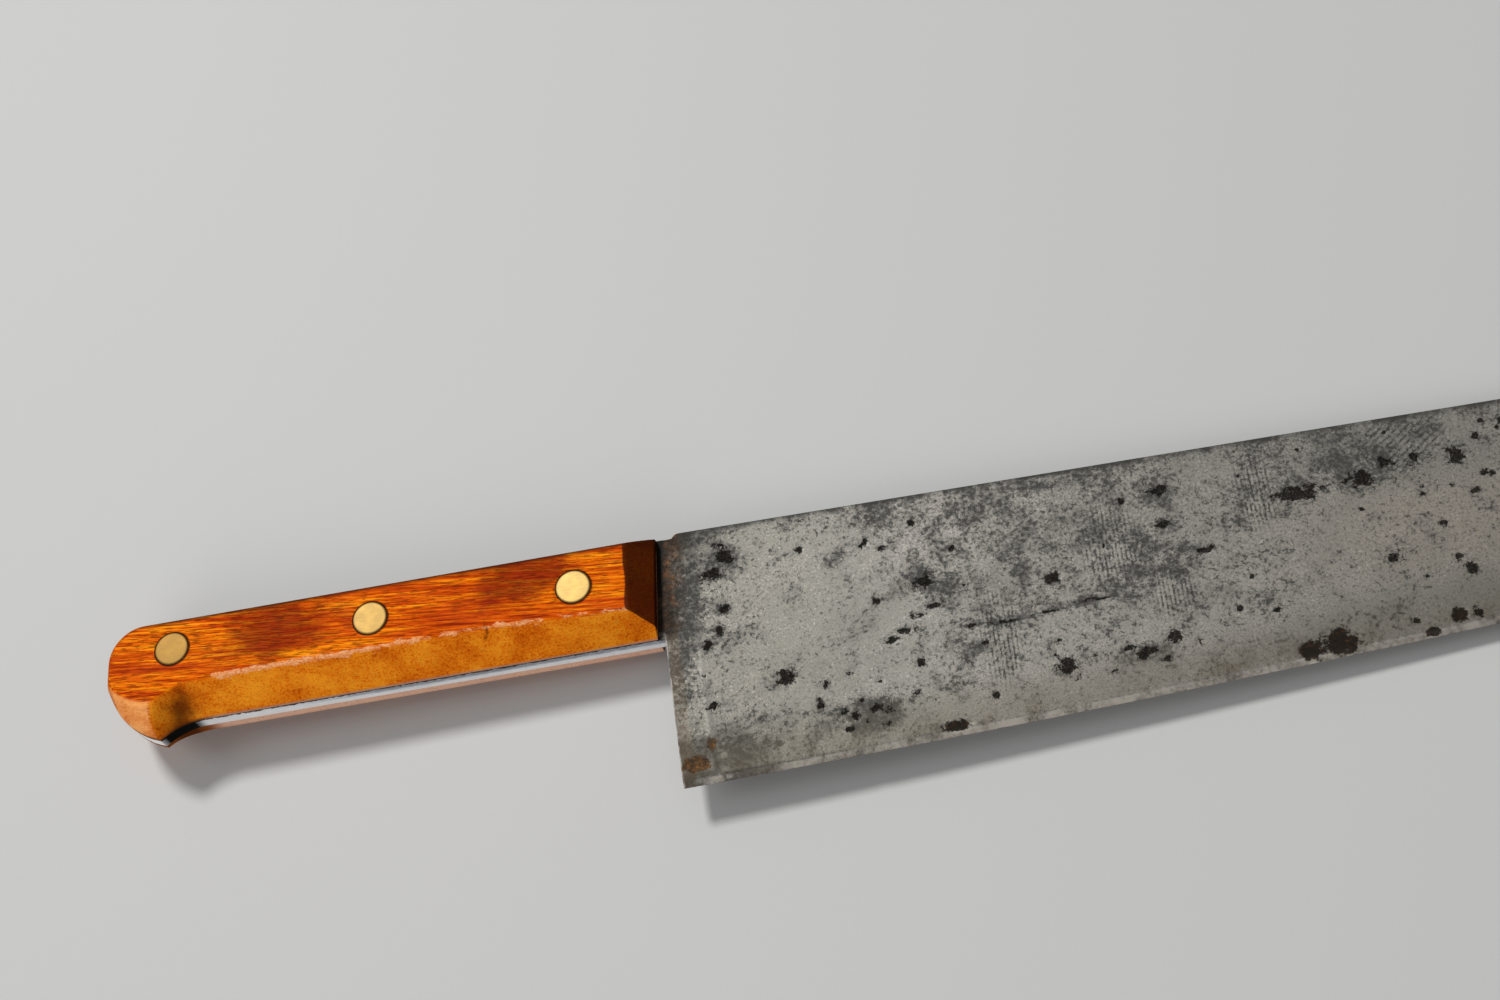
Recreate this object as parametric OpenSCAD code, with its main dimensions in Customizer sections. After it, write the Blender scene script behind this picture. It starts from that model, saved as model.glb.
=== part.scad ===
// Long butcher's cleaver with a full-tang blade, two riveted wooden scales and three two-piece rivets.
// The knife lies on its left side: +X points to the nose, +Y to the spine and +Z to the right side.
// The origin is at the middle of the footprint, on the plane of the left scale's flat face.

/* [Blade] */
// Length of the blade, from the heel to the nose
blade_len = 254; // [200:1:300]
// Height of the blade at the heel, from the spine to the edge
heel_h = 61.8; // [50:0.1:80]
// Thickness of the spine at the heel
spine_t = 4; // [3:0.1:6]
// Thickness of the flank at the heel, just above the ground edge
edge_t = 1.4; // [0.8:0.1:2.4]
// Thickness that the whole plate loses from the heel to the nose
nose_thinning = 0.9; // [0:0.1:1]
// Angle between the edge and the spine at the heel
edge_rise = 2; // [0:0.1:4]
// Radius of the long curve of the edge
edge_r = 4500; // [2000:100:9000]
// Angle of the ground edge on each side
grind_angle = 20; // [12:1:24]
// Radius of the nose's corner at the edge
nose_edge_r = 24; // [10:1:30]
// Radius of the nose's corner at the spine
nose_spine_r = 5; // [1:0.5:10]
// Lean of the heel, towards the nose at the edge
heel_lean = 2.3; // [0:0.1:5]
// Width of the thicker band along the heel
ricasso_w = 8; // [4:1:14]
// Height of the spine above the rear rivet
spine_y = 12.2; // [11:0.1:14]

/* [Handle] */
// Distance from the rear rivet to the butt
butt_x = 18; // [16:0.5:22]
// Distance from the rear rivet to the front end of the scales, on the spine side
front_x = 114.6; // [112:0.1:118]
// Amount by which the front end falls back on the belly side
front_slant = 1.2; // [0:0.1:2]
// Thickness over both scales
handle_t = 18; // [15:0.5:24]
// Depth from the spine side to the belly, at the front end
handle_front_h = 25; // [23:0.5:28]
// Depth from the spine side to the belly, at the butt
handle_butt_h = 25.5; // [24:0.5:28]
// Amount by which the spine side drops from the front end to the butt
handle_droop = 1.2; // [0:0.1:3]
// Step from the spine down to the tang
shoulder_step = 1.3; // [0.5:0.1:3]
// Thickness of the tang at the front end
tang_front_t = 4; // [3:0.1:6]
// Thickness of the tang at the butt
tang_butt_t = 3.2; // [2:0.1:6]
// Width of the bevel along the belly
belly_bevel_w = 7.2; // [4:0.1:8]
// Height of the right scale's upright wall, between the tang and its bevels
right_wall = 0.5; // [0.3:0.1:3]
// Height of the left scale's upright wall, between the tang and its bevels
left_wall = 2.4; // [0.3:0.1:3]
// Width of the steep bevel along the spine side
spine_bevel_w = 2.8; // [1:0.1:5]
// Length of the chamfer at the front end, on the spine side
front_chamfer_len = 6.2; // [3:0.1:9]
// Depth of the chamfer at the front end
front_chamfer_depth = 4.5; // [2:0.1:5]

/* [Butt] */
// Radius of the butt, from its middle down to the beak
butt_r = 19.1; // [18:0.1:24]
// Radius of the butt's corner on the spine side
butt_corner_r = 11; // [6:0.1:13]
// Direction from the butt's centre to the tip of the beak
beak_angle = 252.3; // [246:0.1:254]
// Distance from the rear rivet to the start of the hollow in front of the beak
hollow_x = 6; // [4:0.5:12]
// Width of the bevel along the lower part of the butt, beside the beak
butt_bevel_w = 7; // [3:0.1:8]

/* [Rivets] */
// Distance between neighbouring rivets
rivet_pitch = 48; // [40:1:52]
// Fall of the row of rivets towards the edge, from the rear rivet to the front one
rivet_fall = 0.8; // [0:0.1:2]
// Diameter of the rivet heads
head_d = 8.1; // [7:0.1:10]
// Thickness of the rivet heads
head_t = 1.6; // [1.2:0.1:2.4]
// Outer diameter of the socket's tube
tube_d = 5; // [4.5:0.1:6]
// Diameter of the stud's shank, and of the socket's bore
shank_d = 3.6; // [3:0.1:4]
// Play on the diameter between the rivets and their holes in the wood and the tang
hole_play = 0.2; // [0.1:0.05:0.4]

/* [Hidden] */
$fn = 64;

steel_colour = [0.58, 0.57, 0.55];
wood_colour = [0.78, 0.38, 0.10];
brass_colour = [0.86, 0.76, 0.48];

// Size of the blocks that the cuts remove, larger than the knife
reach = 700;
half_t = handle_t / 2;
arc_steps = 8;

// The knife is drawn around the rear rivet, with z = 0 in its middle plane.
heel_x = front_x + 1.8;
nose_x = heel_x + blade_len;
edge_y = spine_y - heel_h;
knife_min = [-butt_x, edge_y, -half_t];
knife_max = [nose_x, spine_y, half_t];
to_origin = [-(knife_min[0] + knife_max[0]) / 2, -(knife_min[1] + knife_max[1]) / 2, -knife_min[2]];

// Slopes of the blade's flank: across the blade and along it
across_angle = atan((spine_t - edge_t) / 2 / heel_h);
along_angle = atan(nose_thinning / 2 / blade_len);
ricasso_angle = 0.7 * across_angle;
// Half of the thickness that is left at the sharp edge
keen_t = 0.1;

// Handle outline
front_top_y = spine_y - shoulder_step;
front_low_y = front_top_y - handle_front_h;
butt_top_y = front_top_y - handle_droop;
belly_y = butt_top_y - handle_butt_h;
corner_c = [-butt_x + butt_corner_r, butt_top_y - butt_corner_r];
butt_c = [-butt_x + butt_r, corner_c[1]];
beak_tip = butt_c + butt_r * [cos(beak_angle), sin(beak_angle)];
front_low_x = front_x - front_slant;
belly_slope = atan((front_low_y - belly_y) / (front_low_x - hollow_x));
top_slope = atan((front_top_y - butt_top_y) / (front_x - corner_c[0]));
tang_angle = atan((tang_front_t - tang_butt_t) / 2 / (front_x + butt_x));

// The hollow in front of the beak is an arc that starts on the belly line.
hollow_run = hollow_x - beak_tip[0];
hollow_drop = belly_y - beak_tip[1];
hollow_r = (hollow_run * hollow_run + hollow_drop * hollow_drop) / (2 * hollow_drop);
hollow_c = [hollow_x, belly_y - hollow_r];
hollow_angle = atan2(beak_tip[1] - hollow_c[1], beak_tip[0] - hollow_c[0]);

// Rivets
rivet_line = [rivet_pitch, -rivet_fall / 2];
tube_end_z = -half_t + head_t + 2;
stud_end_z = half_t - head_t - 4;

function arc(centre, radius, from, to) = [
    for (step = [0:arc_steps])
        let (angle = from + (to - from) * step / arc_steps)
            centre + radius * [cos(angle), sin(angle)]
];

// The edge is one long arc from the heel to the start of the nose's corner.
edge_c = [heel_x - edge_r * sin(edge_rise), edge_y + edge_r * cos(edge_rise)];
corner_edge_c = [
    nose_x - nose_edge_r,
    edge_c[1] - sqrt(pow(edge_r - nose_edge_r, 2) - pow(nose_x - nose_edge_r - edge_c[0], 2))
];
corner_edge_angle = atan2(corner_edge_c[1] - edge_c[1], corner_edge_c[0] - edge_c[0]);
edge_points = arc(edge_c, edge_r, -90 + edge_rise, corner_edge_angle);
nose_points = arc(corner_edge_c, nose_edge_r, corner_edge_angle, 0);
neck_x = heel_x + 0.2;
shoulder_r = 1.6;
heel_top = [heel_x - (front_low_y - edge_y) * tan(heel_lean), front_low_y];

function blade_outline() = concat(
    edge_points,
    nose_points,
    arc([nose_x, spine_y] - nose_spine_r * [1, 1], nose_spine_r, 0, 90),
    [[neck_x + 2 * shoulder_r, spine_y]],
    arc([neck_x + 2 * shoulder_r, spine_y - shoulder_r], shoulder_r, 90, 160),
    [[neck_x, front_top_y], [heel_top[0], front_top_y], heel_top]
);

function handle_outline(low_x, top_x) = concat(
    [[low_x, front_low_y], [top_x, front_top_y]],
    arc(corner_c, butt_corner_r, 90, 180),
    arc(butt_c, butt_r, 180, beak_angle),
    arc(hollow_c, hollow_r, hollow_angle, 90)
);

// Everything above a plane through point p. The plane is level along the heading and falls to its right.
module slope_cut(p, heading, pitch, back = reach)
    translate(p)
        rotate([0, 0, heading])
            rotate([pitch, 0, 0])
                translate([-back, -reach, 0])
                    cube([reach + back, 2 * reach, reach]);

module both_sides() {
    children();
    mirror([0, 0, 1])
        children();
}

// Plate with the given outline, whose flanks fall from the spine to the edge and from the heel to the nose.
module wedge_plate(across) difference() {
    linear_extrude(height = 2 * spine_t, center = true)
        children();
    both_sides()
        translate([heel_x, spine_y, spine_t / 2])
            rotate([across, along_angle, 0])
                translate([-reach, -reach, 0])
                    cube([2 * reach, 2 * reach, reach]);
}

module edge_grind(points)
    for (i = [0:len(points) - 2])
        let (run = points[i + 1] - points[i])
            both_sides()
                slope_cut([points[i][0], points[i][1], keen_t], atan2(run[1], run[0]), grind_angle);

module blade_plate() difference() {
    union() {
        wedge_plate(across_angle)
            polygon(blade_outline());
        wedge_plate(ricasso_angle)
            intersection() {
                polygon(blade_outline());
                translate([heel_x - ricasso_w, -reach])
                    square([2 * ricasso_w, 2 * reach]);
            }
    }
    edge_grind(edge_points);
    edge_grind(nose_points);
}

// Everything beyond the right face of the tapered tang
module beyond_tang()
    translate([front_x, 0, tang_front_t / 2])
        rotate([0, -tang_angle, 0])
            translate([-reach, -reach, 0])
                cube([2 * reach, 2 * reach, reach]);

module tang_plate() difference() {
    linear_extrude(height = handle_t, center = true)
        polygon(handle_outline(heel_top[0] + 0.5, neck_x));
    both_sides()
        beyond_tang();
}

module at_rivet(index)
    translate([rivet_line[0] * index, rivet_line[1] * index, 0])
        children();

module blade_with_tang() color(steel_colour) translate(to_origin) difference() {
    union() {
        blade_plate();
        tang_plate();
    }
    for (index = [0:2])
        at_rivet(index)
            cylinder(d = tube_d + hole_play, h = handle_t, center = true);
}

// Cuts that shape the outer face of a scale, above an upright wall
module scale_bevels(wall) {
    land_z = tang_front_t / 2 + wall;
    bevel_depth = half_t - land_z;
    bevel_pitch = atan(bevel_depth / belly_bevel_w);
    spine_pitch = atan(bevel_depth / spine_bevel_w);
    // Belly bevel, and the hollow that carries it round to the beak
    slope_cut([hollow_x, belly_y, land_z], belly_slope, bevel_pitch, 0);
    translate([hollow_c[0], hollow_c[1], land_z - bevel_depth])
        cylinder(r1 = hollow_r - belly_bevel_w, r2 = hollow_r + 2 * belly_bevel_w, h = 3 * bevel_depth);
    // Spine side and its corner at the butt
    slope_cut([front_x, front_top_y, land_z], 180 + top_slope, spine_pitch);
    for (angle = [100:20:180])
        slope_cut([corner_c[0], corner_c[1], land_z] + butt_corner_r * [cos(angle), sin(angle), 0],
            angle + 90, spine_pitch);
    // Lower part of the butt, in three facets that widen towards the beak
    for (facet = [1:3])
        let (angle = 180 + 20 * facet, width = butt_bevel_w * facet / 3)
            slope_cut([butt_c[0], butt_c[1], land_z] + butt_r * [cos(angle), sin(angle), 0],
                angle + 90, atan(bevel_depth / width));
    // Front end
    slope_cut([front_x, front_top_y, half_t - front_chamfer_depth],
        90, atan(front_chamfer_depth / front_chamfer_len));
}

module scale_slab(wall) difference() {
    intersection() {
        linear_extrude(height = half_t)
            polygon(handle_outline(front_low_x, front_x));
        beyond_tang();
    }
    scale_bevels(wall);
    for (index = [0:2])
        at_rivet(index) {
            cylinder(d = tube_d + hole_play, h = handle_t);
            translate([0, 0, half_t - head_t])
                cylinder(d = head_d + hole_play, h = head_t + 1);
        }
}

module right_scale() color(wood_colour) translate(to_origin)
    scale_slab(right_wall);

module left_scale() color(wood_colour) translate(to_origin)
    mirror([0, 0, 1])
        scale_slab(left_wall);

// The socket comes in from the right side and the stud from the left side.
module rivet_socket(index) color(brass_colour) translate(to_origin) at_rivet(index) difference() {
    union() {
        translate([0, 0, half_t - head_t])
            cylinder(d = head_d, h = head_t);
        translate([0, 0, tube_end_z])
            cylinder(d = tube_d, h = half_t - head_t / 2 - tube_end_z);
    }
    translate([0, 0, tube_end_z - 1])
        cylinder(d = shank_d, h = half_t - head_t - 2 - tube_end_z);
}

module rivet_stud(index) color(brass_colour) translate(to_origin) at_rivet(index) {
    translate([0, 0, -half_t])
        cylinder(d = head_d, h = head_t);
    translate([0, 0, -half_t + head_t / 2])
        cylinder(d = shank_d, h = stud_end_z + half_t - head_t / 2);
}

module rear_rivet_socket() rivet_socket(0);
module middle_rivet_socket() rivet_socket(1);
module front_rivet_socket() rivet_socket(2);
module rear_rivet_stud() rivet_stud(0);
module middle_rivet_stud() rivet_stud(1);
module front_rivet_stud() rivet_stud(2);

blade_with_tang();
right_scale();
left_scale();
rear_rivet_socket();
middle_rivet_socket();
front_rivet_socket();
rear_rivet_stud();
middle_rivet_stud();
front_rivet_stud();
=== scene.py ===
"""Long butcher's cleaver with riveted wooden scales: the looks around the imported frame.

Lengths are in millimetres around the rear rivet, in the blade's middle plane: +X to the nose,
+Y to the spine, +Z to the right side. place() turns them into the frame's metres.
"""
import math
from types import SimpleNamespace

import bmesh
import bpy
import numpy as np
from mathutils import Matrix, Vector


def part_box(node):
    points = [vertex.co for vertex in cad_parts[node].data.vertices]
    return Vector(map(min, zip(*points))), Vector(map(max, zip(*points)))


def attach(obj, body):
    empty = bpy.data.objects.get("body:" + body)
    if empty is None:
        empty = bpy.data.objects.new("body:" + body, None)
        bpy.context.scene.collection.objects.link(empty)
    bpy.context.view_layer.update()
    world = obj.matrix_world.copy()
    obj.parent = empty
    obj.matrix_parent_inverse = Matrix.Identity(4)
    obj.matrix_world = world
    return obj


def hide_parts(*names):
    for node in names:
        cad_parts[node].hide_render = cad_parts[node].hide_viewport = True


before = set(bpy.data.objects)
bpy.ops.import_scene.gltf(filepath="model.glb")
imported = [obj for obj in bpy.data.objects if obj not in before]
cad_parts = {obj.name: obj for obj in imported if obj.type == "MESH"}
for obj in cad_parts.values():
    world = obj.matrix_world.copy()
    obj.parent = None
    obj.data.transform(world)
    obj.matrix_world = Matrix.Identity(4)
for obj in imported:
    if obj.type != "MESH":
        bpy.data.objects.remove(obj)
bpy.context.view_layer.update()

MM = 0.001


def box_centre(node):
    low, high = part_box(node)
    return (np.array(low) + np.array(high)) / 2


ORIGIN = np.array([*box_centre("rear_rivet_socket")[:2], box_centre("blade_with_tang")[2]])


def place(points):
    return ORIGIN + np.asarray(points, float) * MM


def box_mm(node):
    low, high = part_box(node)
    return (np.array(low) - ORIGIN) / MM, (np.array(high) - ORIGIN) / MM


def on_circle(centre, radius, turn):
    """Points at these angles round the centre. The radius is one number, or one for each angle."""
    return centre + (radius * np.array([np.cos(turn), np.sin(turn)])).T


def half_chord(radius, offset):
    """Half the length of a circle's chord that lies this far from its centre."""
    return np.sqrt(np.maximum(radius ** 2 - offset ** 2, 0))


# ---- sizes, in millimetres
scale_low, scale_high = box_mm("right_scale")
blade_low, blade_high = box_mm("blade_with_tang")
head_low, head_high = box_mm("rear_rivet_socket")
stud_tip = box_mm("rear_rivet_stud")[1][2]

HALF_T = scale_high[2]
FRONT_H = 25.0
FRONT_SLANT = 1.2
FRONT_TOP = np.array([scale_high[0], scale_high[1]])
FRONT_LOW = FRONT_TOP - [FRONT_SLANT, FRONT_H]
DROOP = 1.2
BUTT_H = 25.5
BUTT_TOP_Y = FRONT_TOP[1] - DROOP
BELLY_Y = BUTT_TOP_Y - BUTT_H
CORNER_R = 11.0
CORNER = np.array([scale_low[0] + CORNER_R, BUTT_TOP_Y - CORNER_R])
BUTT_R = 19.1
BUTT = np.array([scale_low[0] + BUTT_R, CORNER[1]])
BEAK_ANGLE = math.radians(252.3)
BEAK = on_circle(BUTT, BUTT_R, BEAK_ANGLE)
HOLLOW_X = 6.0
BELLY_SLOPE = (FRONT_LOW[1] - BELLY_Y) / (FRONT_LOW[0] - HOLLOW_X)
HOLLOW_DROP = BELLY_Y - BEAK[1]
HOLLOW_R = ((HOLLOW_X - BEAK[0]) ** 2 + HOLLOW_DROP ** 2) / (2 * HOLLOW_DROP)
HOLLOW = np.array([HOLLOW_X, BELLY_Y - HOLLOW_R])

# Levels where the bevels of the right and the left scale start, above an upright wall
LAND = {1: 2.5, -1: 4.4}
BEAK_WEAR = 1.6
BELLY_BEVEL = 7.2
SPINE_BEVEL = 2.8
BUTT_BEVEL = 7.0
CHAMFER_LEN = 6.2
CHAMFER_DEPTH = 4.5

HEAD_R = (head_high[0] - head_low[0]) / 2
HEAD_T = 1.6
TUBE_R = 2.5
SHANK_R = 1.8
HOLE_GAP = 0.1
HOLE_R = TUBE_R + HOLE_GAP
BORE_R = HEAD_R + HOLE_GAP
PITCH = (box_centre("middle_rivet_socket") - box_centre("rear_rivet_socket"))[:2] / MM

TANG_FRONT = 2.0
TANG_BUTT = 1.6
HEEL = np.array([116.4, blade_low[1]])
HEEL_LEAN = math.tan(math.radians(2.3))
HEEL_TOP = np.array([HEEL[0] - (FRONT_LOW[1] - HEEL[1]) * HEEL_LEAN, FRONT_LOW[1]])
SPINE_Y = blade_high[1]
NOSE_X = blade_high[0]
SPINE_HALF = 2.0
EDGE_HALF = 0.7
THINNING = 0.45
ACROSS = (SPINE_HALF - EDGE_HALF) / (SPINE_Y - HEEL[1])
ALONG = THINNING / (NOSE_X - HEEL[0])
RICASSO_W = 8.0
KEEN = 0.1
GRIND = math.tan(math.radians(20))
EDGE_R = 4500.0
EDGE_RISE = math.radians(2)
EDGE = HEEL + EDGE_R * np.array([-math.sin(EDGE_RISE), math.cos(EDGE_RISE)])
NOSE_R = 24.0
NOSE_TOP_R = 5.0
NOSE = np.array([NOSE_X - NOSE_R, 0.0])
NOSE[1] = EDGE[1] - half_chord(EDGE_R - NOSE_R, NOSE[0] - EDGE[0])
NECK_X = HEEL[0] + 0.2
SHOULDER_R = 1.6
SPINE_ROUND = 0.35
HEEL_ROUND = 0.25


# ---- small numeric helpers
def smoothstep(value, low, high):
    t = np.clip((value - low) / (high - low), 0, 1)
    return t * t * (3 - 2 * t)


def soft_min(a, b, width):
    """The smaller of two surfaces, with the arris between them rounded over about this width."""
    overlap = np.maximum(width - np.abs(a - b), 0)
    return np.minimum(a, b) - overlap * overlap / (4 * width)


def round_over(inset, radius):
    """How far a surface sinks at this distance from an edge that is rounded to the radius."""
    return radius - half_chord(radius, np.clip(radius - inset, 0, radius))


def reach(x, y, centre):
    return np.hypot(x - centre[0], y - centre[1])


def ripples(x, y, seed, wavelength, count=14):
    """Smooth random height between about -1 and 1, from waves in random directions."""
    rng = np.random.default_rng(seed)
    total = np.zeros_like(np.asarray(x, float))
    for _ in range(count):
        angle, phase = rng.uniform(0, 2 * math.pi, 2)
        k = 2 * math.pi / (wavelength * rng.uniform(0.6, 1.7))
        total += np.sin(k * (x * math.cos(angle) + y * math.sin(angle)) + phase)
    return total / math.sqrt(count)


# ---- mesh helpers
def add_object(name, points, faces):
    mesh = bpy.data.meshes.new(name)
    mesh.from_pydata(place(points).tolist(), [], faces)
    obj = bpy.data.objects.new(name, mesh)
    bpy.context.scene.collection.objects.link(obj)
    return obj


def weld(obj):
    bm = bmesh.new()
    bm.from_mesh(obj.data)
    bmesh.ops.remove_doubles(bm, verts=bm.verts, dist=0.002 * MM)
    bmesh.ops.recalc_face_normals(bm, faces=bm.faces)
    bm.to_mesh(obj.data)
    bm.free()


def loft(name, rings):
    """Skin over a stack of closed rings. Points that coincide, as at a pole, are welded."""
    rings = np.asarray(rings)
    rows, around = rings.shape[:2]
    faces = []
    for row in range(rows - 1):
        for step in range(around):
            after = (step + 1) % around
            low, high = row * around, (row + 1) * around
            faces.append((low + step, low + after, high + after, high + step))
    obj = add_object(name, rings.reshape(-1, 3), faces)
    weld(obj)
    return obj


def lathe(name, profile, centre, sides=96):
    """Turned piece from (radius, height) points, round an axis parallel to Z."""
    turn = np.arange(sides) * 2 * math.pi / sides
    rings = [
        np.column_stack([on_circle(centre, radius, turn), np.full(sides, height)])
        for radius, height in profile
    ]
    return loft(name, rings)


def cut(obj, cutter):
    """Subtracts the cutter from the piece for good, and removes the cutter."""
    boolean = obj.modifiers.new("hole", "BOOLEAN")
    boolean.operation = "DIFFERENCE"
    boolean.solver = "MANIFOLD"
    boolean.object = cutter
    evaluated = obj.evaluated_get(bpy.context.evaluated_depsgraph_get())
    mesh = bpy.data.meshes.new_from_object(evaluated)
    obj.modifiers.remove(boolean)
    obj.data = mesh
    bpy.data.objects.remove(cutter)


def mesh_points(obj):
    """The mesh's points as x, y and z arrays, in millimetres."""
    flat = np.empty(len(obj.data.vertices) * 3)
    obj.data.vertices.foreach_get("co", flat)
    return ((flat.reshape(-1, 3) - ORIGIN) / MM).T


def store(obj, **fields):
    for name, values in fields.items():
        attribute = obj.data.attributes.new(name, "FLOAT", "POINT")
        attribute.data.foreach_set("value", np.asarray(values, np.float32))


def finish_piece(obj, material, nodes, sharp=35):
    obj.data.materials.clear()
    obj.data.materials.append(material)
    obj.data.shade_smooth()
    obj.data.set_sharp_from_angle(angle=math.radians(sharp))
    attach(obj, "root")
    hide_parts(*nodes)


# ---- material helper
def srgb(red, green, blue):
    """Colour from 0 to 255 as the screen shows it, in the linear values that shaders take."""
    channels = np.array([red, green, blue]) / 255
    linear = np.where(channels <= 0.04045, channels / 12.92, ((channels + 0.055) / 1.055) ** 2.4)
    return (*linear.tolist(), 1.0)


class Paint:
    """One node material. Most methods add nodes and return the output socket of the last one."""

    def __init__(self, name, **constants):
        self.material = bpy.data.materials.new(name)
        self.material.use_nodes = True
        self.tree = self.material.node_tree
        self.tree.nodes.clear()
        self.shader = self.add("BsdfPrincipled")
        self.add("OutputMaterial", self.shader.outputs[0])
        self.coords = self.add("TexCoord").outputs["Object"]
        self.tune(self.shader, **constants)

    def feed(self, socket, value):
        if isinstance(value, bpy.types.NodeSocket):
            self.tree.links.new(value, socket)
        else:
            socket.default_value = value

    def add(self, kind, *values, **settings):
        """New node with these settings, whose first inputs take these sockets or constants."""
        node = self.tree.nodes.new("ShaderNode" + kind)
        for name, setting in settings.items():
            setattr(node, name, setting)
        for socket, value in zip(node.inputs, values):
            self.feed(socket, value)
        return node

    def tune(self, node, **constants):
        for name, value in constants.items():
            node.inputs[name.replace("_", " ")].default_value = value

    def set(self, name, value):
        self.feed(self.shader.inputs[name], value)

    def turned(self, vector, degrees):
        """Coordinates turned round Z, so that what is stretched along X runs at this angle below it."""
        node = self.add("VectorRotate", vector, rotation_type="Z_AXIS")
        self.tune(node, Angle=math.radians(degrees))
        return node.outputs[0]

    def math(self, operation, *values):
        return self.add("Math", *values, operation=operation).outputs[0]

    def weighted(self, *pairs):
        """Sum of (value, weight) pairs."""
        total = 0.0
        for value, weight in pairs:
            total = self.math("MULTIPLY_ADD", value, weight, total)
        return total

    def product(self, first, *others):
        for other in others:
            first = self.math("MULTIPLY", first, other)
        return first

    def fit(self, value, low, high, to_low=0.0, to_high=1.0):
        """Smooth step that goes from to_low to to_high while the value goes from low to high."""
        node = self.add("MapRange", value, low, high, to_low, to_high, interpolation_type="SMOOTHSTEP")
        return node.outputs[0]

    def fade(self, value, low, high):
        """1 below the low value and 0 above the high one."""
        return self.fit(value, low, high, 1.0, 0.0)

    def stretched(self, stretch, shift=0.0):
        """Object coordinates in millimetres, each axis multiplied by its own number."""
        shifts = (shift, 1.7 * shift, 2.3 * shift)
        node = self.add("VectorMath", self.coords, [axis / MM for axis in stretch], shifts,
                        operation="MULTIPLY_ADD")
        return node.outputs[0]

    def noise(self, size, stretch=(1, 1, 1), detail=3.0, rough=0.55, shift=0.0, warp=0.0):
        """Noise whose features are about this many millimetres across, along each axis times 1/stretch."""
        node = self.add("TexNoise", self.stretched([axis / size for axis in stretch], shift))
        self.tune(node, Scale=1.0, Detail=detail, Roughness=rough, Distortion=warp)
        return node.outputs["Fac"]

    def attribute(self, name):
        return self.add("Attribute", attribute_name=name).outputs["Fac"]

    def blend(self, factor, a, b):
        """Colour from a to b. Each is a socket, or red, green and blue from 0 to 255."""
        node = self.add("Mix", factor, data_type="RGBA")
        for socket, colour in zip(node.inputs[6:8], (a, b)):
            self.feed(socket, srgb(*colour) if isinstance(colour, tuple) else colour)
        return node.outputs[2]

    def coats(self, colour, *coats):
        """Colour under coats of (tint, factors): a coat covers as much as its factors' product says."""
        for tint, *factors in coats:
            colour = self.blend(self.product(*factors), colour, tint)
        return colour

    def lerp(self, factor, a, b):
        """Number from a to b."""
        node = self.add("Mix", factor)
        self.feed(node.inputs[2], a)
        self.feed(node.inputs[3], b)
        return node.outputs[0]

    def ramp(self, value, *stops):
        """Colour that runs through the stops, each a value and its red, green and blue from 0 to 255."""
        node = self.add("ValToRGB", value)
        elements = node.color_ramp.elements
        while len(elements) < len(stops):
            elements.new(1.0)
        for element, (position, colour) in zip(elements, stops):
            element.position = position
            element.color = srgb(*colour)
        return node.outputs[0]

    def bump(self, height, depth, normal=None):
        """Bump whose height runs from 0 to 1 over this depth in millimetres."""
        node = self.add("Bump")
        self.tune(node, Strength=1.0, Distance=depth * MM)
        self.feed(node.inputs["Height"], height)
        if normal is not None:
            self.feed(node.inputs["Normal"], normal)
        return node.outputs[0]

    def ragged(self, field, noise, roughness, soft):
        """1 inside a field's zero line and 0 outside, with the line made ragged by the noise."""
        wandering = self.weighted((field, 1.0), (noise, roughness), (1.0, -roughness / 2))
        return self.fit(wandering, -soft, soft)


# ---- camera, light and floor
def back_vector(azimuth, elevation):
    a, e = math.radians(azimuth), math.radians(elevation)
    return Vector((math.sin(a) * math.cos(e), -math.cos(a) * math.cos(e), math.sin(e)))


def add_camera():
    """Over the shoulder of the heel, from the edge's side, rolled so that the knife climbs to the right."""
    azimuth, elevation, roll = 14.3, 60.35, math.radians(21.9)
    distance, focal_length = 510.2, 52.8
    target = Vector(place((137.0, 18.7, 0)))
    back = back_vector(azimuth, elevation)
    level = Vector((math.cos(math.radians(azimuth)), math.sin(math.radians(azimuth)), 0))
    upright = back.cross(level)
    right = level * math.cos(roll) - upright * math.sin(roll)
    up = back.cross(right)
    data = bpy.data.cameras.new("camera")
    data.sensor_width = 36
    data.lens = focal_length
    data.clip_start = 0.01
    camera = bpy.data.objects.new("camera", data)
    turn = Matrix((right, up, back)).transposed()
    camera.matrix_world = Matrix.Translation(target + back * distance * MM) @ turn.to_4x4()
    bpy.context.scene.collection.objects.link(camera)
    bpy.context.scene.camera = camera


def add_light(name, direction, distance, size, power, colour):
    data = bpy.data.lights.new(name, "AREA")
    data.shape = "DISK"
    data.size = size
    data.energy = power
    data.color = colour
    light = bpy.data.objects.new(name, data)
    toward = Vector(direction).normalized()
    light.location = Vector(place((110, 0, 0))) + toward * distance
    light.rotation_mode = "QUATERNION"
    light.rotation_quaternion = toward.to_track_quat("Z", "Y")
    bpy.context.scene.collection.objects.link(light)


def add_lights():
    add_light("key", (-0.42, 0.65, 1.0), 3.2, 0.7, 78, (1.0, 0.99, 0.97))
    add_light("left_window", (-1.0, 0.0, 1.0), 2.4, 1.2, 9, (0.97, 0.99, 1.0))
    add_light("front_fill", (-0.4, -1.0, 0.8), 2.4, 1.6, 15, (1.0, 0.98, 0.96))
    world = bpy.data.worlds.new("studio")
    world.use_nodes = True
    background = world.node_tree.nodes["Background"]
    background.inputs["Color"].default_value = (0.93, 0.96, 1.0, 1.0)
    background.inputs["Strength"].default_value = 0.22
    bpy.context.scene.world = world
    bpy.context.scene.view_settings.view_transform = "Standard"


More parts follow.
